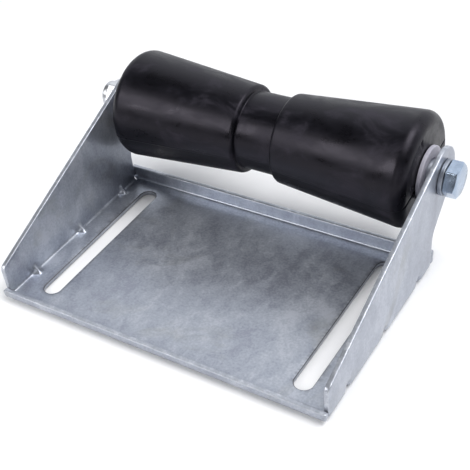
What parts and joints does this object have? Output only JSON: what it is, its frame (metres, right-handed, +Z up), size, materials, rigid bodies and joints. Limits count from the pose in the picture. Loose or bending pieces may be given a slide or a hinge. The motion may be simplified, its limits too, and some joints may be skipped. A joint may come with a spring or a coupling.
{
  "type": "keel roller",
  "caption": "Boat trailer keel roller: a black rubber roller, waisted for the keel, on a long bolt between the ears of a folded galvanised flat-base bracket.",
  "frame": {"origin": "middle of the underside of the flat base", "axes": "+X along the roller axis towards the bolt head, +Y towards the rear flange under the roller, +Z up out of the base"},
  "size_m": [0.2475, 0.1805, 0.0947],
  "materials": {
    "galvanised_sheet": "hot-dip galvanised, satin, mottled with drip marks",
    "black_rubber": "smooth moulded rubber with a soft sheen and a light bloom",
    "zinc_plated_steel": "bright blue-white zinc plate",
    "nylon": "natural off-white nylon"
  },
  "bodies": {
    "bracket": {"bracket": "galvanised_sheet", "spacer_tube": "zinc_plated_steel", "spindle_bolt": "zinc_plated_steel", "head_washer": "zinc_plated_steel", "nut_washer": "zinc_plated_steel", "lock_nut": "zinc_plated_steel", "lock_nut_insert": "nylon"},
    "roller": {"roller": "black_rubber", "bush_left": "nylon", "bush_right": "nylon"},
    "side_washer_left": {"side_washer_left": "nylon"},
    "side_washer_right": {"side_washer_right": "nylon"}
  },
  "joints": [
    {"name": "roller_spin", "type": "hinge", "parent": "bracket", "child": "roller", "pos_m": [0, 0.0763, 0.0605], "axis": [1, 0, 0], "continuous": true},
    {"name": "side_washer_left_spin", "type": "hinge", "parent": "bracket", "child": "side_washer_left", "pos_m": [-0.10165, 0.0763, 0.0605], "axis": [1, 0, 0], "continuous": true},
    {"name": "side_washer_right_spin", "type": "hinge", "parent": "bracket", "child": "side_washer_right", "pos_m": [0.10165, 0.0763, 0.0605], "axis": [1, 0, 0], "continuous": true}
  ]
}
